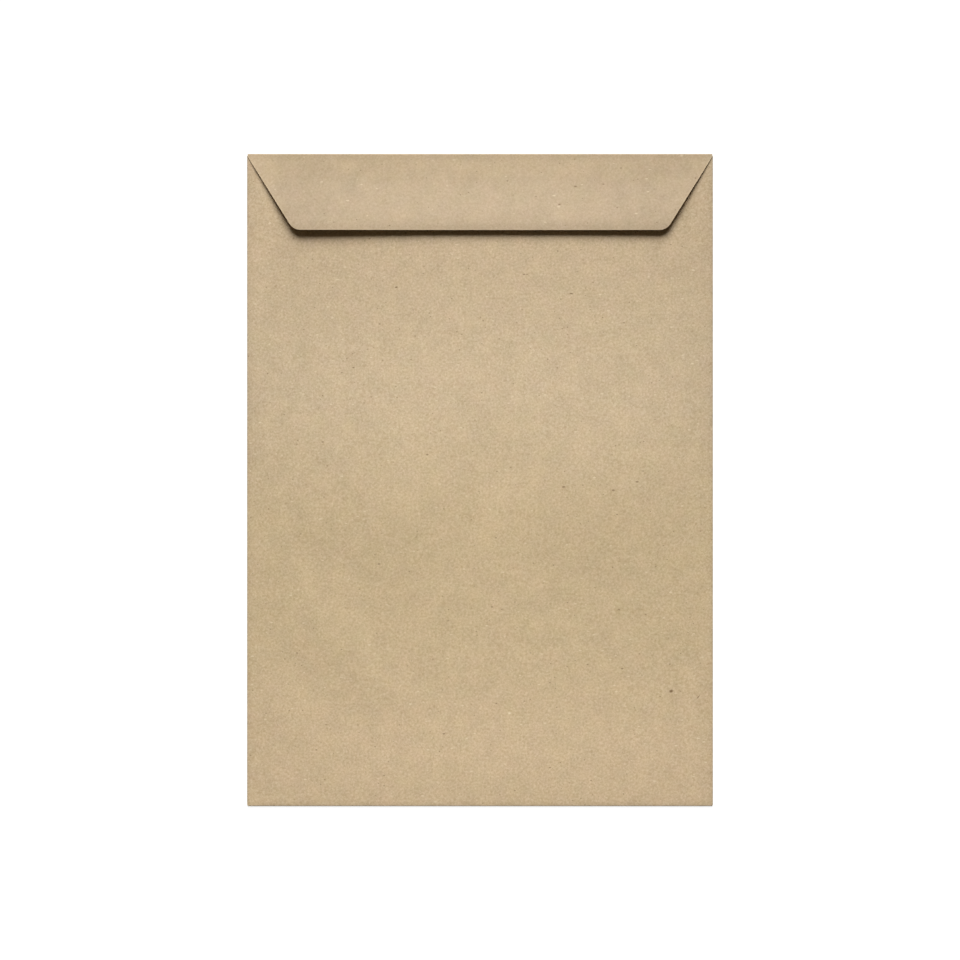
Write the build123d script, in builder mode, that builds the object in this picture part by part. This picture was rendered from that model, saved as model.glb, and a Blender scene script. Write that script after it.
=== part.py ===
from build123d import *
import os
from math import atan2, cos, degrees, sin, radians, tan

# Pocket envelope, folded and glued from one sheet of kraft paper, with its flap turned down
# over the mouth and not stuck. The sheet is one solid. Starting from the throat, it runs down
# the back panel, round the bottom fold, up the front panel and round the flap fold into the
# flap. Two glue flaps turn in from the front panel's sides and are glued under the back panel.
#
# Frame: the envelope lies on its front panel, with +Z up, +X across it and +Y up to the flap
# fold. The origin is at the middle of the front panel's outer face.

# Driving sizes, in millimetres and degrees
width = 250.0  # over the two side folds
height = 350.0  # from the bottom fold to the flap fold
paper = 0.15  # thickness of the sheet
pocket_gap = 0.5  # clear height inside the pocket, between the front and back panels

back_inset = 0.8  # cut sides of the back panel, in from the side folds
throat_drop = 2.0  # cut top edge of the back panel, below the flap fold
fold_relief = 0.4  # side folds stop this far short of the bottom fold's flat

glue_flap_width = 20.0  # side fold to the glue flap's inner edge
glue_flap_slant = 30.0  # how much each end of a glue flap slants, from square

flap_depth = 41.0  # flap fold to the free edge, seen from above
flap_side_slant = 32.0  # how much the flap's sides slant in, from upright
flap_side_start = 1.3  # the sides run straight down this far before they slant in
flap_inset = 0.5  # where the flap's sides meet its fold, in from the side folds
flap_corner_radius = 6.0  # the two rounded corners of the free edge
flap_clearance = 0.25  # flap's underside over the back panel, at the fold
flap_lift = 3.0  # the same at the free edge, where the fold springs open

# Places that follow from them
half_width = width / 2
half_height = height / 2
back_underside = paper + pocket_gap
back_top = back_underside + paper

bottom_radius = pocket_gap / 2  # inside radii of the folds
side_radius = (pocket_gap - paper) / 2
flap_radius = (pocket_gap + paper + flap_clearance) / 2

front_side = half_width - side_radius - paper  # edges of the front panel's flat
front_bottom = -half_height + bottom_radius + paper
front_top = half_height - flap_radius - paper

back_side = half_width - back_inset
throat = half_height - throat_drop
side_fold_bottom = front_bottom + fold_relief

flap_run = flap_depth - flap_radius - paper
flap_angle = atan2(flap_lift - flap_clearance, flap_run)
flap_length = (flap_run + flap_radius * sin(flap_angle)) / cos(flap_angle)
flap_fold_side = half_width - flap_inset
flap_slant_length = flap_length - flap_side_start
flap_free_side = flap_fold_side - flap_slant_length * tan(radians(flap_side_slant))


def fold_section(plane, centre, inside_radius, start, turn):
    """Section of one fold: the thickness of the sheet, carried round an arc."""
    with BuildSketch(plane) as section:
        with BuildLine():
            inside = CenterArc(centre, inside_radius, start, turn)
            outside = CenterArc(centre, inside_radius + paper, start, turn)
            Line(inside @ 0, outside @ 0)
            Line(inside @ 1, outside @ 1)
        make_face()
    return section.sketch


with BuildPart() as envelope:
    # Front panel, flat on the ground
    with BuildSketch() as front_panel:
        with Locations((0, (front_bottom + front_top) / 2)):
            Rectangle(2 * front_side, front_top - front_bottom)
    extrude(amount=paper)

    # Bottom fold, and the back panel that it turns up and over
    bottom_fold = fold_section(
        Plane.YZ, (front_bottom, paper + bottom_radius), bottom_radius, 90, 180
    )
    extrude(bottom_fold, amount=back_side, both=True)
    with BuildSketch(Plane.XY.offset(back_underside)) as back_panel:
        with Locations((0, (front_bottom + throat) / 2)):
            Rectangle(2 * back_side, throat - front_bottom)
    extrude(amount=paper)

    # Side folds and glue flaps, the right-hand one drawn and the left-hand one mirrored
    side_fold = fold_section(
        Plane.XZ.offset(-throat), (front_side, paper + side_radius), side_radius, -90, 180
    )
    side_folds = side_fold + mirror(side_fold, about=Plane.YZ, mode=Mode.PRIVATE)
    extrude(side_folds, amount=throat - side_fold_bottom)
    glue_flap_edge = half_width - glue_flap_width
    glue_flap_end = (front_side - glue_flap_edge) * tan(radians(glue_flap_slant))
    with BuildSketch(Plane.XY.offset(back_underside - paper)) as glue_flaps:
        with BuildLine():
            Polyline(
                (front_side, side_fold_bottom),
                (front_side, throat),
                (glue_flap_edge, throat - glue_flap_end),
                (glue_flap_edge, side_fold_bottom + glue_flap_end),
                close=True,
            )
        make_face()
        mirror(about=Plane.YZ)
    extrude(amount=paper)

    # Flap fold, which springs open by the flap's angle
    flap_fold = fold_section(
        Plane.YZ,
        (front_top, paper + flap_radius),
        flap_radius,
        -90,
        180 - degrees(flap_angle),
    )
    extrude(flap_fold, amount=flap_fold_side, both=True)

    # Flap, drawn on the plane of its underside, with its free edge towards local -Y
    flap_up = Vector(0, sin(flap_angle), cos(flap_angle))
    flap_start = Vector(0, front_top, paper + flap_radius) + flap_up * flap_radius
    with BuildSketch(Plane(origin=flap_start, x_dir=(1, 0, 0), z_dir=flap_up)) as flap:
        with BuildLine():
            Polyline(
                (-flap_fold_side, 0),
                (flap_fold_side, 0),
                (flap_fold_side, -flap_side_start),
                (flap_free_side, -flap_length),
                (-flap_free_side, -flap_length),
                (-flap_fold_side, -flap_side_start),
                close=True,
            )
        make_face()
        fillet(flap.vertices().group_by(Axis.Y)[0], flap_corner_radius)
    extrude(amount=paper)

envelope.part.label = "envelope"

os.makedirs("parts", exist_ok=True)
export_step(envelope.part, "parts/envelope.step")
print(
    f"envelope: {len(envelope.solids())} solid, {envelope.part.volume:.1f} mm3, "
    f"valid {envelope.part.is_valid}, box {envelope.part.bounding_box().size}"
)
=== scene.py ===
"""Kraft pocket envelope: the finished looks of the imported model.

One sheet of kraft paper is folded here as it is folded by machine: front panel, bottom fold, back
panel, side folds with their glue flaps, and the closing flap. The back panel then gets the soft
swell of an empty pocket, and the sheet its thickness and its kraft paper finish. Lengths are in
metres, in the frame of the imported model: +X across, +Y up to the flap's fold, +Z up.
"""

import math

import bmesh
import bpy
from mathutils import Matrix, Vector


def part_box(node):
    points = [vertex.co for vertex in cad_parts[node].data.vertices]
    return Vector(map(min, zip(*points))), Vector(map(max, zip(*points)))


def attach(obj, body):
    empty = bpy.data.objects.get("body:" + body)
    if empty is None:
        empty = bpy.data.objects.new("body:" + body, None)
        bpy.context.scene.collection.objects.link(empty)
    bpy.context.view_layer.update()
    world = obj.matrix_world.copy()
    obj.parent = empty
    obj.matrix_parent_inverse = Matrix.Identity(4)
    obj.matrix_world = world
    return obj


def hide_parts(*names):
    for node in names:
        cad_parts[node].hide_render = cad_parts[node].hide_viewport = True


bl_info = {
    "name": "Kraft Pocket Envelope",
    "version": (1, 0, 0),
    "blender": (4, 5, 0),
    "location": "View3D > Sidebar > Envelope",
    "description": "Folds a kraft paper pocket envelope and sets up the table, light and camera",
    "category": "Add Mesh",
}

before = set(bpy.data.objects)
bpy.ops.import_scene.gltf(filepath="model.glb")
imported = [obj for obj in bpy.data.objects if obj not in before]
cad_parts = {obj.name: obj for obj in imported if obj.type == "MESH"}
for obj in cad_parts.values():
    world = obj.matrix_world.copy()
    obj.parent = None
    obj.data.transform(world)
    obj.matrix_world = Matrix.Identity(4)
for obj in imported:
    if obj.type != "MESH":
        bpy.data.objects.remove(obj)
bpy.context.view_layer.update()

NODE = "envelope"
LOW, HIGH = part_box(NODE)
MM = 0.001
NEAR = 0.01 * MM  # places closer than this are the same


def length(name, description, default):
    """A length setting in metres, shown in the scene's units."""
    return bpy.props.FloatProperty(
        name=name, description=description, default=default, min=0, precision=5, unit="LENGTH"
    )


def angle(name, description, degrees):
    """An angle setting."""
    return bpy.props.FloatProperty(
        name=name, description=description, default=math.radians(degrees), subtype="ANGLE"
    )


def share(name, description, default):
    """A plain number from 0 to 1."""
    return bpy.props.FloatProperty(
        name=name, description=description, default=default, min=0, max=1, subtype="FACTOR"
    )


def text(name, description, default):
    """A colour as sRGB hex."""
    return bpy.props.StringProperty(name=name, description=description, default=default)


# ---------------------------------------------------------------------------------------------
# Settings


class EnvelopeSheetSettings(bpy.types.PropertyGroup):
    """The folded sheet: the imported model's outline, and the sizes of its folds and flaps."""

    width: length("Width", "Over the two side folds", HIGH.x - LOW.x)
    height: length("Height", "From the bottom fold to the flap fold", HIGH.y - LOW.y)
    paper: length("Paper", "Thickness of the sheet", 0.15 * MM)
    pocket_gap: length("Pocket gap", "Clear height inside the pocket at its edges", 0.5 * MM)
    glue_line: length("Glue line", "Between a glue flap and the back panel", 0.02 * MM)
    back_inset: length("Back panel inset", "Its cut sides, in from the side folds", 0.35 * MM)
    throat_drop: length("Throat drop", "Back panel's top edge, below the flap fold", 1 * MM)
    fold_relief: length("Fold relief", "Side folds stop short of the bottom fold", 0.1 * MM)
    glue_flap_width: length("Glue flap width", "Side fold to the inner edge", 20 * MM)
    glue_flap_slant: angle("Glue flap slant", "Slant of its ends, from square", 30)
    flap_depth: length("Flap depth", "Flap fold to the free edge, from above", 41.2 * MM)
    flap_side_slant: angle("Flap side slant", "Slant of its sides, from upright", 32)
    flap_side_start: length("Flap side start", "Straight part of its sides, at the fold", 1 * MM)
    flap_inset: length("Flap inset", "Its sides at the fold, in from the side folds", 0.4 * MM)
    flap_corner_radius: length("Flap corner radius", "The two rounded corners", 7 * MM)
    flap_clearance: length("Flap clearance", "Over the back panel, at the fold", 0.25 * MM)
    mesh_step: length("Mesh step", "Spacing of the mesh lines on the back panel", 2.5 * MM)


class KraftPaperSettings(bpy.types.PropertyGroup):
    """The paper's colours, as sRGB hex, and how strong its grain is."""

    # The drift of these browns up the sheet is painted sheen: paler and greyer where the swell
    # faces the lamp, richer where it turns from it
    bottom_brown: text("Bottom brown", "The sheet near the bottom fold", "C7B190")
    lower_brown: text("Lower brown", "Below the middle, the richest brown", "C6B18E")
    upper_brown: text("Upper brown", "Above the middle, a little paler", "C5B192")
    throat_brown: text("Throat brown", "The sheet under the closing flap", "C4AF90")
    # Painted shade: the flap's brown is darker and greyer, to take back the extra light that its
    # slope towards the lamp catches
    flap_shade_brown: text("Flap brown", "The closing flap, which lies open to the air", "BEAA8E")
    grain_brown: text("Grain brown", "What the grain adds or takes away", "B6B2A2")
    shive_brown: text("Shive brown", "Bark flecks and uncooked fibre bundles", "6E5638")
    pale_fibre: text("Pale fibre", "Bleached fibres in the recycled pulp", "EADBBB")
    # Its colour is also the painted highlight along the flap's outline
    cut_edge_and_highlight: text("Cut edge", "Fresh fibres along a cut edge", "DCC9A5")
    mottle: share("Mottle", "Unevenness from fibre to fibre", 0.2)
    clouds: share("Clouds", "Unevenness where the fibres flocked", 0.05)
    tints: share("Tints", "Drift of the hue between one batch of fibres and the next", 0.045)


class StudioSettings(bpy.types.PropertyGroup):
    """The light, the table and the camera."""

    light_elevation: angle("Light elevation", "How high the soft light stands over the table", 37.5)
    light_spread: angle("Light spread", "Width of the soft light, as seen from the table", 38)
    light_turn: angle("Light turn", "From the flap's side towards the left", 2)
    fill: share("Fill", "Share of the light that comes from all round", 0.06)
    fill_colour: text("Fill colour", "Light thrown back by a warm room", "FFE0AE")
    camera_height: length("Camera height", "Above the table", 1217 * MM)
    focal_length: bpy.props.FloatProperty(
        name="Focal length", description="Of the camera's lens, in millimetres", default=85
    )


# ---------------------------------------------------------------------------------------------
# Modelling helpers

FOLD_STEPS = 10  # faces round a fold
CORNER_STEPS = 10  # cuts round a corner of the flap
FLAP_ROWS = 1.5  # rows of the flap for each mesh step of its depth
SMOOTH_BELOW = math.radians(35)  # a sharper edge stays crisp
MERGE = NEAR / 10


def deselect_everything():
    """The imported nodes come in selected, and an operator acts on all that is."""
    if bpy.context.mode != "OBJECT":
        bpy.ops.object.mode_set(mode="OBJECT")
    bpy.ops.object.select_all(action="DESELECT")


def pick(kind, test):
    """Selects the vertices, edges or faces whose middle passes the test, in edit mode."""
    bpy.ops.mesh.select_mode(type=kind)
    bpy.ops.mesh.select_all(action="DESELECT")
    mesh = bpy.context.edit_object.data
    shape = bmesh.from_edit_mesh(mesh)
    if kind == "FACE":
        found = [face for face in shape.faces if test(face.calc_center_median())]
    elif kind == "EDGE":
        found = [e for e in shape.edges if test(e.verts[0].co) and test(e.verts[1].co)]
    else:
        found = [vertex for vertex in shape.verts if test(vertex.co)]
    for element in found:
        element.select_set(True)
    bmesh.update_edit_mesh(mesh)
    if not found:
        raise RuntimeError(f"nothing to select among the mesh's {kind}s")


def cut(place, normal, drop_outside=False):
    """Cuts the selected faces along a plane, and may drop what lies beyond it."""
    bpy.ops.mesh.bisect(
        plane_co=place, plane_no=normal, threshold=MERGE, clear_outer=drop_outside
    )


def fold_over(centre, axis):
    """Turns the selected edges half round a fold's axis, leaving the fold behind them."""
    bpy.ops.mesh.spin(steps=FOLD_STEPS, angle=math.pi, center=centre, axis=axis)


def draw_out(move):
    """Extrudes the selected edges."""
    bpy.ops.mesh.extrude_region_move(TRANSFORM_OT_translate={"value": move})


# ---------------------------------------------------------------------------------------------
# The sheet

# Swells of the empty pocket's back panel, in millimetres: middle across and up, reach across
# and up, height, and how far the swell is turned in degrees. Each falls away like a bell.
SWELLS = (
    (0, 14, 130, 54, 3.1, 0),  # the pocket as a whole
    (0, -56, 110, 50, 1.2, 0),  # its long fall towards the bottom
    (-95, 2, 32, 46, 1.0, 0),  # left and right flanks
    (92, 2, 30, 42, 0.6, 0),
    (-42, -20, 27, 34, 1.1, 0),  # two pillows, with a valley between them
    (52, -16, 30, 32, 1.2, 0),
    (5, 6, 14, 26, -0.85, 0),
    (-24, -68, 18, 34, 0.35, 0),
    (-80, -84, 46, 15, 0.9, -50),  # slanting ripples at the lower left
    (-106, -124, 30, 10, 0.45, -50),
    (105, -114, 32, 30, -0.7, 0),  # hollow at the lower right
    (5, -154, 95, 20, 0.45, 0),  # ridge over the bottom fold
)
LOWEST_SWELL = -0.4 * MM  # the back panel sinks no deeper into the pocket
SIDE_REACH = 26 * MM  # how far in the side seams hold the swell down
END_REACH = 12 * MM  # and how far the bottom fold and the throat do


def swell_height(x, y, half_width, bottom, top):
    """How far the back panel stands up there, held down along its four sides."""
    height = 0
    for middle_x, middle_y, reach_x, reach_y, rise, turn in SWELLS:
        across = x - middle_x * MM
        up = y - middle_y * MM
        turn = math.radians(turn)
        along = across * math.cos(turn) + up * math.sin(turn)
        over = up * math.cos(turn) - across * math.sin(turn)
        off = math.hypot(along / (reach_x * MM), over / (reach_y * MM))
        height += rise * MM * math.exp(-(off**2))
    from_side = min(1, max(0, half_width - abs(x)) / SIDE_REACH)
    from_end = min(1, max(0, min(y - bottom, top - y)) / END_REACH)
    if height < 0:
        height = LOWEST_SWELL * math.tanh(height / LOWEST_SWELL)
    return height * math.sin(math.pi / 2 * from_side) * math.sin(math.pi / 2 * from_end)


# Slope of the flap along its depth: share of the depth from the fold, and rise for each unit
FLAP_SLOPES = (
    (0.0, 0.0),
    (0.09, 0.04),
    (0.27, 0.024),
    (0.47, 0.084),
    (0.66, 0.105),
    (0.82, 0.09),
    (0.88, 0.052),
    (0.95, -0.015),
    (1.0, -0.055),
)


def flap_slope(position):
    """The flap's slope at a share of its depth, eased between the named ones."""
    for (start, low), (end, high) in zip(FLAP_SLOPES, FLAP_SLOPES[1:]):
        if position <= end:
            return low + (high - low) * ease((position - start) / (end - start))
    return FLAP_SLOPES[-1][1]


LIFT = 0.65 * MM  # of the flap's left half, growing with its depth
LEFT_TIP_LIFT = 0.5 * MM  # and of its two corners, over the last quarter of the depth
RIGHT_TIP_LIFT = 0.35 * MM
TIP_START = 0.75
SIDE_CURL = 1 * MM  # of its slanting sides, halfway along
SIDE_CURL_REACH = 14 * MM


def flap_lift(x, side, depth):
    """How much higher than its middle the flap stands at a share of its depth: its corners, the
    left one most, and its slanting sides, which curl up halfway along."""
    left = ease((-x - 15 * MM) / (85 * MM))
    right = ease((x - 55 * MM) / (45 * MM))
    tip = max(0, depth - TIP_START) / (1 - TIP_START)
    corners = left * LIFT * depth**2 + (left * LEFT_TIP_LIFT + right * RIGHT_TIP_LIFT) * tip**2
    curl = SIDE_CURL * math.exp((abs(x) - side) / SIDE_CURL_REACH) * math.sin(math.pi * depth)
    return corners + curl


def ease(step):
    """0 to 1, easing at both ends."""
    step = min(1, max(0, step))
    return step * step * (3 - 2 * step)


class FoldPlaces:
    """Where the sheet's folds and cut edges lie. Each radius is that of a fold's inner face."""

    def __init__(self, sheet):
        half_width = sheet.width / 2
        half_height = sheet.height / 2
        self.skin = sheet.paper / 2  # the sheet is folded as a surface through its middle
        self.bottom_radius = sheet.pocket_gap / 2
        self.side_radius = (sheet.pocket_gap - sheet.paper - sheet.glue_line) / 2
        self.flap_radius = (sheet.pocket_gap + sheet.paper + sheet.flap_clearance) / 2
        self.front_side = half_width - self.side_radius - sheet.paper
        self.front_bottom = -half_height + self.bottom_radius + sheet.paper
        self.front_top = half_height - self.flap_radius - sheet.paper
        self.back_side = half_width - sheet.back_inset
        self.back_level = sheet.paper + sheet.pocket_gap + self.skin
        self.throat = half_height - sheet.throat_drop
        self.side_fold_bottom = self.front_bottom + sheet.fold_relief
        self.glue_flap_edge = half_width - sheet.glue_flap_width
        self.glue_level = sheet.paper + 2 * self.side_radius + self.skin
        self.flap_side = half_width - sheet.flap_inset
        self.flap_run = sheet.flap_depth - self.flap_radius - sheet.paper
        self.flap_underside = sheet.paper + 2 * self.flap_radius
        self.slant_top = self.front_top - sheet.flap_side_start

    def is_back(self, co):
        """Whether a place lies on the back panel or on a glue flap under it."""
        between_levels = self.glue_level - NEAR < co.z < self.back_level + NEAR
        return between_levels and co.y < self.throat + NEAR


def front_panel(fold):
    """Adds the front panel, cut through wherever a side of a fold meets its outline."""
    middle = (fold.front_bottom + fold.front_top) / 2
    bpy.ops.mesh.primitive_plane_add(size=1, location=(0, middle, fold.skin))
    piece = bpy.context.object
    piece.name = "kraft_envelope"
    piece.data.name = "kraft_envelope"
    piece.scale = (2 * fold.front_side, fold.front_top - fold.front_bottom, 1)
    bpy.ops.object.transform_apply(location=True, rotation=True, scale=True)
    bpy.ops.object.mode_set(mode="EDIT")
    for side in (-1, 1):
        for place in (fold.back_side, fold.flap_side):
            bpy.ops.mesh.select_all(action="SELECT")
            cut((side * place, 0, 0), (1, 0, 0))
    for place in (fold.side_fold_bottom, fold.throat):
        bpy.ops.mesh.select_all(action="SELECT")
        cut((0, place, 0), (0, 1, 0))
    return piece


def back_panel(sheet, fold):
    """Turns the bottom fold, and draws the back panel out of it up to the throat."""

    def at_bottom(co):
        return co.y < fold.front_bottom + NEAR and abs(co.x) < fold.back_side + NEAR

    pick("EDGE", at_bottom)
    fold_over((0, fold.front_bottom, sheet.paper + fold.bottom_radius), (1, 0, 0))
    draw_out((0, fold.throat - fold.front_bottom, 0))


def glue_flap(sheet, fold, side):
    """Turns one side fold, and draws out its glue flap, its two ends cut on the slant."""

    def at_side(co):
        on_front = side * co.x > fold.front_side - NEAR and co.z < sheet.paper
        return on_front and fold.side_fold_bottom - NEAR < co.y < fold.throat + NEAR

    def is_glue_flap(co):
        return abs(co.z - fold.glue_level) < NEAR and side * co.x > 0

    pick("EDGE", at_side)
    fold_over((side * fold.front_side, 0, sheet.paper + fold.side_radius), (0, side, 0))
    draw_out((side * (fold.glue_flap_edge - fold.front_side), 0, 0))
    slant = sheet.glue_flap_slant
    for end, place in ((-1, fold.side_fold_bottom), (1, fold.throat)):
        pick("FACE", is_glue_flap)
        normal = (-side * math.sin(slant), end * math.cos(slant), 0)
        cut((side * fold.front_side, place, 0), normal, drop_outside=True)


def closing_flap(sheet, fold):
    """Turns the flap's fold, and draws the flap out of it row by row along its slope."""

    def at_top(co):
        return co.y > fold.front_top - NEAR and abs(co.x) < fold.flap_side + NEAR

    pick("EDGE", at_top)
    fold_over((0, fold.front_top, sheet.paper + fold.flap_radius), (-1, 0, 0))
    run = fold.flap_run
    rows = round(run / sheet.mesh_step * FLAP_ROWS)
    slopes = [flap_slope((row + 0.5) / rows) for row in range(rows)]
    rise = sum(slopes) * run / rows
    lift = HIGH.z - sheet.paper - (fold.back_level + fold.skin) - sheet.flap_clearance
    for slope in slopes:
        draw_out((0, -run / rows, slope * lift / rise * run / rows))


def trim_flap(sheet, fold):
    """Cuts the flap's round corners and its slanting sides."""
    slant = sheet.flap_side_slant
    radius = sheet.flap_corner_radius
    free_edge = fold.front_top - fold.flap_run
    corner_x = fold.flap_side - (fold.slant_top - free_edge) * math.tan(slant)
    corner_x -= radius * math.tan(math.pi / 4 - slant / 2)
    for side in (-1, 1):
        centre = Vector((side * corner_x, free_edge + radius, 0))
        for step in range(1, CORNER_STEPS + 1):
            pick("FACE", lambda co: co.z > fold.flap_underside)
            heading = -math.pi / 2 + (math.pi / 2 - slant) * step / CORNER_STEPS
            normal = Vector((side * math.cos(heading), math.sin(heading), 0))
            place = centre + normal * radius
            if step == CORNER_STEPS:
                place = (side * fold.flap_side, fold.slant_top, 0)
            cut(place, normal, drop_outside=True)


def mesh_lines(sheet, fold):
    """Cuts the mesh lines that the swell bends, the upright ones through every layer."""
    columns = round(2 * fold.back_side / sheet.mesh_step)
    rows = round((fold.throat - fold.side_fold_bottom) / sheet.mesh_step)
    for column in range(1, columns):
        bpy.ops.mesh.select_all(action="SELECT")
        cut((fold.back_side * (2 * column / columns - 1), 0, 0), (1, 0, 0))
    for row in range(1, rows):
        pick("FACE", fold.is_back)
        up = fold.side_fold_bottom + (fold.throat - fold.side_fold_bottom) * row / rows
        cut((0, up, 0), (0, 1, 0))


def raise_panels(piece, sheet, fold):
    """Swells the back panel, which the glue flaps follow, and lifts the flap's corners."""
    shape = bmesh.from_edit_mesh(piece.data)
    for vertex in shape.verts:
        x, y, z = vertex.co
        if fold.is_back(vertex.co):
            vertex.co.z += swell_height(x, y, fold.back_side, fold.front_bottom, fold.throat)
        elif z > fold.flap_underside and y < fold.front_top:
            side = fold.flap_side - max(0, fold.slant_top - y) * math.tan(sheet.flap_side_slant)
            vertex.co.z += flap_lift(x, side, (fold.front_top - y) / fold.flap_run)
    bmesh.update_edit_mesh(piece.data)


def thicken(piece, sheet):
    """Joins the mesh to one surface and gives it the paper's thickness, half to each side."""
    bpy.ops.mesh.select_all(action="SELECT")
    bpy.ops.mesh.remove_doubles(threshold=MERGE)
    bpy.ops.mesh.normals_make_consistent(inside=False)
    bpy.ops.object.mode_set(mode="OBJECT")
    for material in (kraft_paper(), cut_paper_edge()):
        piece.data.materials.append(material)
    solidify = piece.modifiers.new("paper thickness", "SOLIDIFY")
    solidify.thickness = sheet.paper
    solidify.offset = 0
    solidify.use_even_offset = True
    solidify.material_offset_rim = 1
    bpy.ops.object.modifier_apply(modifier=solidify.name)
    bpy.ops.object.shade_smooth_by_angle(angle=SMOOTH_BELOW)


class ENVELOPE_OT_fold_sheet(bpy.types.Operator):
    """Fold the envelope from one sheet of kraft paper"""

    bl_idname = "envelope.fold_sheet"
    bl_label = "Fold Kraft Sheet"

    def execute(self, context):
        sheet = context.scene.envelope_sheet
        fold = FoldPlaces(sheet)
        deselect_everything()
        piece = front_panel(fold)
        back_panel(sheet, fold)
        for side in (-1, 1):
            glue_flap(sheet, fold, side)
        closing_flap(sheet, fold)
        trim_flap(sheet, fold)
        mesh_lines(sheet, fold)
        raise_panels(piece, sheet, fold)
        thicken(piece, sheet)

        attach(piece, "root")
        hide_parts(NODE)
        return {"FINISHED"}


# ---------------------------------------------------------------------------------------------
# Materials

# Node settings that come up again and again
ADD_PRODUCT = {"operation": "MULTIPLY_ADD"}
LARGER = {"operation": "MAXIMUM"}
SMALLER = {"operation": "MINIMUM"}
SUBTRACT = {"operation": "SUBTRACT"}
TIMES = {"operation": "MULTIPLY"}
EASED = {"interpolation_type": "SMOOTHSTEP"}
UNCLAMPED = {"clamp": False}
COLOURS = {"data_type": "RGBA"}


def paint(hex_colour):
    """sRGB hex to linear RGBA."""
    values = [int(hex_colour[i : i + 2], 16) / 255 for i in (0, 2, 4)]
    linear = [v / 12.92 if v <= 0.04045 else ((v + 0.055) / 1.055) ** 2.4 for v in values]
    return (*linear, 1)


def new_material(name):
    """A material with only its output and shader, its node tree, and the shader."""
    material = bpy.data.materials.new(name)
    material.use_nodes = True
    return material, material.node_tree, material.node_tree.nodes["Principled BSDF"]


def add(tree, kind, settings, inputs, output=0):
    """Adds a node with its settings, links or sets its inputs, and gives one of its outputs. Of
    a Map Range, inputs 0 to 4 are the value, the range it comes from and the one it goes to. Of
    a colour Mix, 0 is the share, 6 and 7 are the colours and 2 is the output."""
    node = tree.nodes.new(kind)
    for name, value in settings.items():
        setattr(node, name, value)
    for name, value in inputs.items():
        if isinstance(value, bpy.types.NodeSocket):
            tree.links.new(value, node.inputs[name])
        else:
            node.inputs[name].default_value = value
    return node.outputs[output]


def set_stops(ramp, stops, low, high):
    """Gives a colour ramp its stops, each a place between low and high and a colour."""
    elements = ramp.node.color_ramp.elements
    while len(elements) < len(stops):
        elements.new(0.5)
    for element, (place, colour) in zip(elements, stops):
        element.position = (place - low) / (high - low)
        element.color = colour


FLECK_CHANCE = 0.66  # share of the cells that hold no fleck
MARK_CORE = 0.4  # share of a mark's reach that has its full colour
MARK_HEIGHT = 0.8 * MM  # half of it, which keeps a mark off the panel beneath


def flecks(tree, places, spacing, size, turn, stretch):
    """Scattered flecks, each fullest in its middle, and 0 between them. About a third of the
    cells hold one, and no two are the same size."""
    turned = (0, 0, math.radians(turn))
    laid = {"Vector": places, "Rotation": turned, "Scale": (1 / stretch, 1, 1)}
    laid = add(tree, "ShaderNodeMapping", {}, laid)
    pattern = {"Vector": laid, "Scale": 1 / spacing, "Randomness": 1.0}
    cells = add(tree, "ShaderNodeTexVoronoi", {"feature": "F1"}, pattern).node
    chance = add(tree, "ShaderNodeSeparateColor", {}, {0: cells.outputs["Color"]})
    sizes = {0: chance, 1: FLECK_CHANCE, 2: 1.0, 3: 0.0, 4: size / spacing}
    radius = add(tree, "ShaderNodeMapRange", {}, sizes)
    inside = {0: radius, 1: cells.outputs["Distance"]}
    inside = add(tree, "ShaderNodeMath", SUBTRACT, inside)
    fuller = {0: inside, 1: 3 * spacing / size}
    return add(tree, "ShaderNodeMath", {**TIMES, "use_clamp": True}, fuller)


def mark(tree, places, middle, half_size, turn):
    """One oval mark on the upper side: 1 in its middle and 0 from its edge on."""
    oval = {
        "Vector": places,
        "Location": middle,
        "Rotation": (0, 0, math.radians(turn)),
        "Scale": (half_size[0] * MM, half_size[1] * MM, MARK_HEIGHT),
    }
    local = add(tree, "ShaderNodeMapping", {"vector_type": "TEXTURE"}, oval)
    off = add(tree, "ShaderNodeVectorMath", {"operation": "LENGTH"}, {0: local}, 1)
    return add(tree, "ShaderNodeMapRange", {}, {0: off, 1: MARK_CORE, 2: 1.0, 3: 1.0, 4: 0.0})


# The sheet's browns: millimetres up from its middle, and the setting that holds the colour. Their
# drift is painted sheen: paler and greyer where the swell's slopes face the lamp, richer where they
# turn from it
BROWN_PLACES = (
    (-135, "bottom_brown"),
    (-85, "lower_brown"),
    (-25, "lower_brown"),
    (40, "upper_brown"),
    (75, "upper_brown"),
    (125, "throat_brown"),
)

# Painted shade, darker towards the sheet's folded outline: millimetres from a side fold, and tone
FOLD_SHADE_TONES = ((0, 0.8), (0.5, 0.875), (1.5, 0.935), (3, 0.965), (8, 0.985), (30, 1.0))
BOTTOM_NARROWER = 2.5  # the bottom fold darkens a band that much narrower than a side fold's
TOP_NARROWER = 0.7  # and the flap's fold a wider one

# Single marks on the upper side: across and up, half length and half width in millimetres,
# turn in degrees, and whether the mark is dark
MARKS = (
    (102.6, -113.3, 1.35, 1.05, 20, True),
    (49.0, 100.0, 1.2, 0.4, -8, True),
    (117.1, -116.5, 1.6, 0.3, 50, True),
    (-44.9, 103.4, 1.0, 0.5, 15, True),
    (15.8, -125.1, 1.0, 0.6, 0, False),
)


# Flecks: the cells' spacing and the largest fleck's half width in millimetres, turn in degrees,
# how many times longer than wide, strength, and the setting that holds the colour
FLECKS = (
    (2.2, 0.5, 35, 2.2, 0.45, "pale_fibre"),
    (1.9, 0.42, 70, 1.3, 0.52, "shive_brown"),
    (4.2, 0.55, -25, 1.8, 0.6, "shive_brown"),
)
MARK_STRENGTH = 0.85
# Painted highlight: a paler band just inside the flap's outline, where its cut edge catches the
# light
RIM_HIGHLIGHT_STRENGTH = 0.15  # of the paler cut edge that shows round the flap


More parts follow.
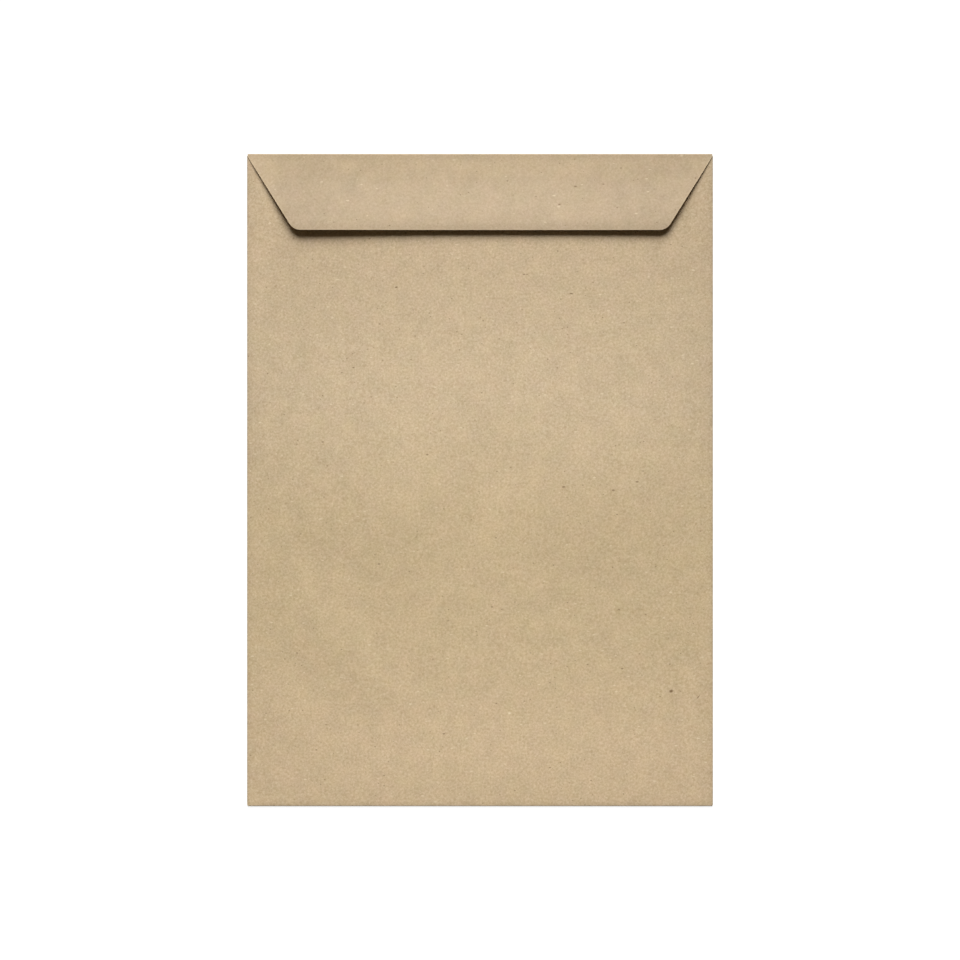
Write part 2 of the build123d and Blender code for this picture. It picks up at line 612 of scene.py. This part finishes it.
def flap_area(tree, sheet, across, up, level):
    """How far outside the flap's outline a place lies, and 1 on the flap and 0 off it."""
    slant = sheet.flap_side_slant
    side_x = sheet.width / 2 - sheet.flap_inset
    side_y = sheet.height / 2 - sheet.flap_side_start
    side_off = side_x * math.cos(slant) - side_y * math.sin(slant)
    place = add(tree, "ShaderNodeCombineXYZ", {}, {0: across, 1: up})
    outwards = {0: place, 1: (math.cos(slant), -math.sin(slant), 0)}
    outwards = add(tree, "ShaderNodeVectorMath", {"operation": "DOT_PRODUCT"}, outwards, 1)
    past_side = add(tree, "ShaderNodeMath", SUBTRACT, {0: outwards, 1: side_off})
    free_edge = sheet.height / 2 - sheet.flap_depth
    past_end = add(tree, "ShaderNodeMath", SUBTRACT, {0: free_edge, 1: up})
    rounded = {0: past_side, 1: past_end, 2: sheet.flap_corner_radius / 2}
    past_flap = add(tree, "ShaderNodeMath", {"operation": "SMOOTH_MAX"}, rounded)
    above = {0: level, 1: 0.5 * MM, 2: 1 * MM, 3: 0.0, 4: 1.0}
    above = add(tree, "ShaderNodeMapRange", {}, above)
    within = {0: past_flap, 1: 0.0, 2: 0.3 * MM, 3: 1.0, 4: 0.0}
    within = add(tree, "ShaderNodeMapRange", {}, within)
    return past_flap, add(tree, "ShaderNodeMath", TIMES, {0: above, 1: within})


def sheet_browns(tree, paper, sheet, up, end_gap, on_flap):
    """The sheet's brown, whose drift on its way up is painted sheen, and the flap's own past its
    fold, which is painted shade.
    """
    half_height = sheet.height / 2
    drift = {0: up, 1: -half_height, 2: half_height, 3: 0.0, 4: 1.0}
    drift = add(tree, "ShaderNodeMapRange", {}, drift)
    sheet_brown = add(tree, "ShaderNodeValToRGB", {}, {0: drift})
    browns = [(place, paint(getattr(paper, name))) for place, name in BROWN_PLACES]
    set_stops(sheet_brown, browns, -half_height / MM, half_height / MM)
    # Painted shade: the flap's darker brown takes over between 5 and 22 mm from its fold
    shaded_flap = {0: end_gap, 1: 5 * MM, 2: 22 * MM, 3: 0.0, 4: 1.0}
    shaded_flap = add(tree, "ShaderNodeMapRange", EASED, shaded_flap)
    shaded_flap = add(tree, "ShaderNodeMath", TIMES, {0: shaded_flap, 1: on_flap})
    browns = {0: shaded_flap, 6: sheet_brown, 7: paint(paper.flap_shade_brown)}
    return add(tree, "ShaderNodeMix", COLOURS, browns, 2)


def fold_shade_tone(tree, sheet, side_gap, up):
    """Painted shade: darker in a narrow band along the folds."""
    half_height = sheet.height / 2
    gap = side_gap
    for slope, narrower in ((1, BOTTOM_NARROWER), (-1, TOP_NARROWER)):
        other = {0: up, 1: slope * narrower, 2: narrower * half_height}
        other = add(tree, "ShaderNodeMath", ADD_PRODUCT, other)
        gap = add(tree, "ShaderNodeMath", SMALLER, {0: gap, 1: other})
    reach = FOLD_SHADE_TONES[-1][0]
    near = add(tree, "ShaderNodeMapRange", {}, {0: gap, 1: 0.0, 2: reach * MM, 3: 0.0, 4: 1.0})
    tone = add(tree, "ShaderNodeValToRGB", {}, {0: near})
    set_stops(tone, [(place, (grey, grey, grey, 1)) for place, grey in FOLD_SHADE_TONES], 0, reach)
    return tone


def side_tone(tree, side_gap):
    """A little darker towards both sides than over the middle."""
    tones = {0: side_gap, 1: 0.0, 2: 110 * MM, 3: 0.975, 4: 1.02}
    return add(tree, "ShaderNodeMapRange", EASED, tones)


def left_tone(tree, x, up):
    """Paler down the upper left side, where the seam turns it to the light."""
    left_side = {0: x, 1: -120 * MM, 2: -102 * MM, 3: 1.0, 4: 0.0}
    left_side = add(tree, "ShaderNodeMapRange", EASED, left_side)
    upper_part = {0: up, 1: 20 * MM, 2: 120 * MM, 3: 0.0, 4: 0.075}
    upper_part = add(tree, "ShaderNodeMapRange", EASED, upper_part)
    return add(tree, "ShaderNodeMath", ADD_PRODUCT, {0: left_side, 1: upper_part, 2: 1.0})


def flap_shade_tone(tree, x, across, end_gap, on_flap):
    """Painted shade: the flap is darker towards its sides, at its upper right end and over its
    fold.
    """
    far_out = {0: across, 1: 40 * MM, 2: 105 * MM, 3: 0.0, 4: 0.055}
    far_out = add(tree, "ShaderNodeMapRange", EASED, far_out)
    shaded = {0: x, 1: 60 * MM, 2: 115 * MM, 3: 0.0, 4: 0.1}
    shaded = add(tree, "ShaderNodeMapRange", EASED, shaded)
    near_fold = {0: end_gap, 1: 6 * MM, 2: 24 * MM, 3: 1.0, 4: 0.0}
    near_fold = add(tree, "ShaderNodeMapRange", EASED, near_fold)
    shaded = add(tree, "ShaderNodeMath", TIMES, {0: shaded, 1: near_fold})
    fold_shade = {0: end_gap, 1: 0.0, 2: 12 * MM, 3: 0.05, 4: 0.0}
    fold_shade = add(tree, "ShaderNodeMapRange", EASED, fold_shade)
    darker = add(tree, "ShaderNodeMath", LARGER, {0: far_out, 1: shaded})
    darker = add(tree, "ShaderNodeMath", LARGER, {0: darker, 1: fold_shade})
    darker = add(tree, "ShaderNodeMath", TIMES, {0: darker, 1: on_flap})
    return add(tree, "ShaderNodeMath", SUBTRACT, {0: 1.0, 1: darker})


def cloud_tone(tree, paper, places):
    """Soft clouds some 9 mm across, where the fibres flocked."""
    clouds = {"Vector": places, "Scale": 1 / (9 * MM), "Detail": 2.0}
    clouds = add(tree, "ShaderNodeTexNoise", {}, clouds)
    tones = {0: clouds, 1: 0.25, 2: 0.75, 3: 1 - paper.clouds, 4: 1 + paper.clouds}
    return add(tree, "ShaderNodeMapRange", UNCLAMPED, tones)


def add_mottle(tree, paper, brown, mottle, calm):
    """Adds the mottle's brown to the sheet's, less of it where the sheet is calm."""
    amount = {0: mottle, 1: 0.25, 2: 0.75, 3: -paper.mottle, 4: paper.mottle}
    amount = add(tree, "ShaderNodeMapRange", UNCLAMPED, amount)
    amount = add(tree, "ShaderNodeMath", TIMES, {0: amount, 1: calm})
    mottled = {0: amount, 1: paint(paper.grain_brown)[:3], 2: brown}
    return add(tree, "ShaderNodeVectorMath", ADD_PRODUCT, mottled)


def drift_hue(tree, paper, brown, places):
    """Lets the hue drift between batches of fibres, its red least and its blue most."""
    tints = {"Vector": places, "Scale": 1 / (9 * MM), "Detail": 4.0, "Roughness": 0.6}
    tints = add(tree, "ShaderNodeTexNoise", {}, tints, "Color")
    drifts = [paper.tints * size for size in (0.45, 0.9, 1.3)]
    tint = {0: tints, 1: [2 * size for size in drifts], 2: [1 - size for size in drifts]}
    tint = add(tree, "ShaderNodeVectorMath", ADD_PRODUCT, tint)
    return add(tree, "ShaderNodeVectorMath", TIMES, {0: brown, 1: tint})


def add_flecks(tree, paper, sheet, brown, places, past_flap, on_flap):
    """Lays pale fibres, shives, the flap's painted highlight along its cut edge and the single
    marks over the brown.
    """
    layers = []
    for spacing, size, turn, stretch, strength, colour in FLECKS:
        scattered = flecks(tree, places, spacing * MM, size * MM, turn, stretch)
        layers.append((scattered, strength, colour))
    # Painted highlight along the flap's cut edge
    rim_highlight = {0: past_flap, 1: -0.5 * MM, 2: -0.2 * MM, 3: 0.0, 4: RIM_HIGHLIGHT_STRENGTH}
    rim_highlight = add(tree, "ShaderNodeMapRange", {}, rim_highlight)
    rim_highlight = add(tree, "ShaderNodeMath", TIMES, {0: rim_highlight, 1: on_flap})
    layers.append((rim_highlight, 1.0, "cut_edge_and_highlight"))
    half_height = sheet.height / 2
    for x, y, half_length, half_width, turn, is_dark in MARKS:
        swell = swell_height(x * MM, y * MM, sheet.width / 2, -half_height, half_height)
        middle = (x * MM, y * MM, 2 * sheet.paper + sheet.pocket_gap + swell)
        place = mark(tree, places, middle, (half_length, half_width), turn)
        layers.append((place, MARK_STRENGTH, "shive_brown" if is_dark else "pale_fibre"))
    for place, strength, colour in layers:
        amount = add(tree, "ShaderNodeMath", TIMES, {0: place, 1: strength})
        layer = {0: amount, 6: brown, 7: paint(getattr(paper, colour))}
        brown = add(tree, "ShaderNodeMix", COLOURS, layer, 2)
    return brown


def kraft_paper():
    """Kraft paper with some recycled pulp, machine finished: matt and faintly toothy. The eye
    sees a warm brown that is never quite even: it has soft clouds where the fibres flocked and a
    fine mottle of fibre ends, and holds brown bark shives and pale bleached fibres. Painted on it
    are sheen that drifts from the bottom of the sheet to its top, shade along its folds and over
    the flap, light down its upper left side and a highlight along the flap's cut edge."""
    paper = bpy.context.scene.kraft_paper
    sheet = bpy.context.scene.envelope_sheet
    material, tree, shader = new_material("kraft_paper")
    places = add(tree, "ShaderNodeTexCoord", {}, {}, "Object")
    x, up, level = add(tree, "ShaderNodeSeparateXYZ", {}, {0: places}).node.outputs
    across = add(tree, "ShaderNodeMath", {"operation": "ABSOLUTE"}, {0: x})
    side_gap = add(tree, "ShaderNodeMath", SUBTRACT, {0: sheet.width / 2, 1: across})
    off_middle = add(tree, "ShaderNodeMath", {"operation": "ABSOLUTE"}, {0: up})
    end_gap = add(tree, "ShaderNodeMath", SUBTRACT, {0: sheet.height / 2, 1: off_middle})
    past_flap, on_flap = flap_area(tree, sheet, across, up, level)

    brown = sheet_browns(tree, paper, sheet, up, end_gap, on_flap)
    tone = fold_shade_tone(tree, sheet, side_gap, up)
    for other in (
        side_tone(tree, side_gap),
        left_tone(tree, x, up),
        flap_shade_tone(tree, x, across, end_gap, on_flap),
        cloud_tone(tree, paper, places),
    ):
        tone = add(tree, "ShaderNodeMath", TIMES, {0: tone, 1: other})
    brown = add(tree, "ShaderNodeVectorMath", {"operation": "SCALE"}, {0: brown, "Scale": tone})

    # The fibres are finer than shows, so their mottle is drawn about a millimetre apart
    fibres = {"Vector": places, "Scale": 1 / (1.1 * MM)}
    fibres |= {"Detail": 2.0, "Roughness": 0.6, "Distortion": 0.6}
    mottle = add(tree, "ShaderNodeTexNoise", {}, fibres)
    calm = add(tree, "ShaderNodeMapRange", {}, {0: on_flap, 1: 0.0, 2: 1.0, 3: 1.0, 4: 0.62})
    brown = add_mottle(tree, paper, brown, mottle, calm)
    brown = drift_hue(tree, paper, brown, places)
    brown = add_flecks(tree, paper, sheet, brown, places, past_flap, on_flap)
    tree.links.new(brown, shader.inputs["Base Color"])

    # Tooth of the surface, which the low light rakes over
    tooth = {"Height": mottle, "Distance": 0.03 * MM, "Strength": calm}
    tooth = add(tree, "ShaderNodeBump", {}, tooth)
    tree.links.new(tooth, shader.inputs["Normal"])
    shader.inputs["Roughness"].default_value = 0.65
    shader.inputs["Specular IOR Level"].default_value = 0.12
    return material


def cut_paper_edge():
    """The cut edge of the same sheet: fresh fibres, paler and rougher than its face."""
    paper = bpy.context.scene.kraft_paper
    material, tree, shader = new_material("cut_paper_edge")
    places = add(tree, "ShaderNodeTexCoord", {}, {}, "Object")
    tufts = add(tree, "ShaderNodeTexNoise", {}, {"Vector": places, "Scale": 1 / (0.4 * MM)})
    browns = {0: tufts, 6: paint(paper.cut_edge_and_highlight), 7: paint(paper.lower_brown)}
    brown = add(tree, "ShaderNodeMix", COLOURS, browns, 2)
    tree.links.new(brown, shader.inputs["Base Color"])
    shader.inputs["Roughness"].default_value = 0.95
    return material


# ---------------------------------------------------------------------------------------------
# Stage

TABLE_SIZE = 8
TABLE_DROP = 0.02 * MM  # below the envelope, so that no two faces share a plane
TABLE_GLOW = 0.75  # what the table adds for the camera, which leaves a light shadow on it
WHITE = (1, 1, 1, 1)


def seen_as_background(tree):
    """1 for what the camera sees, in itself, in a gloss or through glass, and 0 for other light."""
    path = add(tree, "ShaderNodeLightPath", {}, {}).node
    seen = path.outputs["Is Camera Ray"]
    for other in ("Is Glossy Ray", "Is Transmission Ray"):
        seen = add(tree, "ShaderNodeMath", LARGER, {0: seen, 1: path.outputs[other]})
    return seen


def white_table():
    """A matt white table top. The camera sees it as white, with only a light shadow on it."""
    material, tree, shader = new_material("white_table")
    seen = seen_as_background(tree)
    tops = {0: seen, 6: paint("F5F5F5"), 7: paint("A0A0A0")}
    own = add(tree, "ShaderNodeMix", COLOURS, tops, 2)
    glow = add(tree, "ShaderNodeMath", TIMES, {0: seen, 1: TABLE_GLOW})
    tree.links.new(own, shader.inputs["Base Color"])
    tree.links.new(glow, shader.inputs["Emission Strength"])
    shader.inputs["Emission Color"].default_value = WHITE
    shader.inputs["Roughness"].default_value = 0.9
    shader.inputs["Specular IOR Level"].default_value = 0
    return material


def lay_table():
    """A level table top just under the envelope."""
    bpy.ops.mesh.primitive_plane_add(size=TABLE_SIZE, location=(0, 0, LOW.z - TABLE_DROP))
    table = bpy.context.object
    table.name = "white_table"
    bpy.ops.object.transform_apply(location=True, rotation=True, scale=True)
    table.data.materials.append(white_table())
    return table


def hang_light(studio):
    """A large soft light, low over the flap's side. A level surface gets pi from it and the
    fill together, so that it renders as about its own colour."""
    bpy.ops.object.light_add(type="SUN", location=(0, 1, 1))
    lamp = bpy.context.object
    lamp.name = "window_light"
    lamp.rotation_euler = (math.pi / 2 - studio.light_elevation, 0, math.pi + studio.light_turn)
    lamp.data.energy = (1 - studio.fill) * math.pi / math.sin(studio.light_elevation)
    lamp.data.angle = studio.light_spread


def light_room(studio):
    """The room's warm fill, which the camera sees as white."""
    world = bpy.data.worlds.new("white_room")
    bpy.context.scene.world = world
    world.use_nodes = True
    tree = world.node_tree
    background = tree.nodes["Background"]
    seen = seen_as_background(tree)
    level = add(tree, "ShaderNodeMapRange", {}, {0: seen, 3: studio.fill, 4: 1.0})
    colours = {0: seen, 6: paint(studio.fill_colour), 7: WHITE}
    colour = add(tree, "ShaderNodeMix", COLOURS, colours, 2)
    tree.links.new(level, background.inputs["Strength"])
    tree.links.new(colour, background.inputs["Color"])


def place_camera(studio):
    """The camera, straight over the envelope's middle."""
    bpy.ops.object.camera_add(location=(0, 0, studio.camera_height), rotation=(0, 0, 0))
    camera = bpy.context.object
    camera.name = "overhead_camera"
    camera.data.lens = studio.focal_length
    bpy.context.scene.camera = camera
    bpy.context.scene.view_settings.view_transform = "Standard"


class ENVELOPE_OT_set_stage(bpy.types.Operator):
    """Set up the white table, the soft light and the camera over it"""

    bl_idname = "envelope.set_stage"
    bl_label = "Set Stage"

    def execute(self, context):
        studio = context.scene.envelope_studio
        deselect_everything()
        table = lay_table()
        hang_light(studio)
        light_room(studio)
        place_camera(studio)
        return {"FINISHED"}


class ENVELOPE_PT_tools(bpy.types.Panel):
    """Lists what builds the envelope and its stage"""

    bl_label = "Kraft Envelope"
    bl_idname = "ENVELOPE_PT_tools"
    bl_space_type = "VIEW_3D"
    bl_region_type = "UI"
    bl_category = "Envelope"

    def draw(self, context):
        layout = self.layout
        for settings in ("envelope_sheet", "kraft_paper", "envelope_studio"):
            group = getattr(context.scene, settings)
            for name in group.__annotations__:
                layout.prop(group, name)
        for operator in (ENVELOPE_OT_set_stage, ENVELOPE_OT_fold_sheet):
            layout.operator(operator.bl_idname)


CLASSES = (
    EnvelopeSheetSettings,
    KraftPaperSettings,
    StudioSettings,
    ENVELOPE_OT_set_stage,
    ENVELOPE_OT_fold_sheet,
    ENVELOPE_PT_tools,
)


def register():
    for cls in CLASSES:
        bpy.utils.register_class(cls)
    bpy.types.Scene.envelope_sheet = bpy.props.PointerProperty(type=EnvelopeSheetSettings)
    bpy.types.Scene.kraft_paper = bpy.props.PointerProperty(type=KraftPaperSettings)
    bpy.types.Scene.envelope_studio = bpy.props.PointerProperty(type=StudioSettings)


def unregister():
    del bpy.types.Scene.envelope_studio
    del bpy.types.Scene.kraft_paper
    del bpy.types.Scene.envelope_sheet
    for cls in reversed(CLASSES):
        bpy.utils.unregister_class(cls)


def main():
    """Builds everything in order."""
    register()
    bpy.ops.envelope.set_stage()
    bpy.ops.envelope.fold_sheet()


if __name__ == "__main__":
    main()
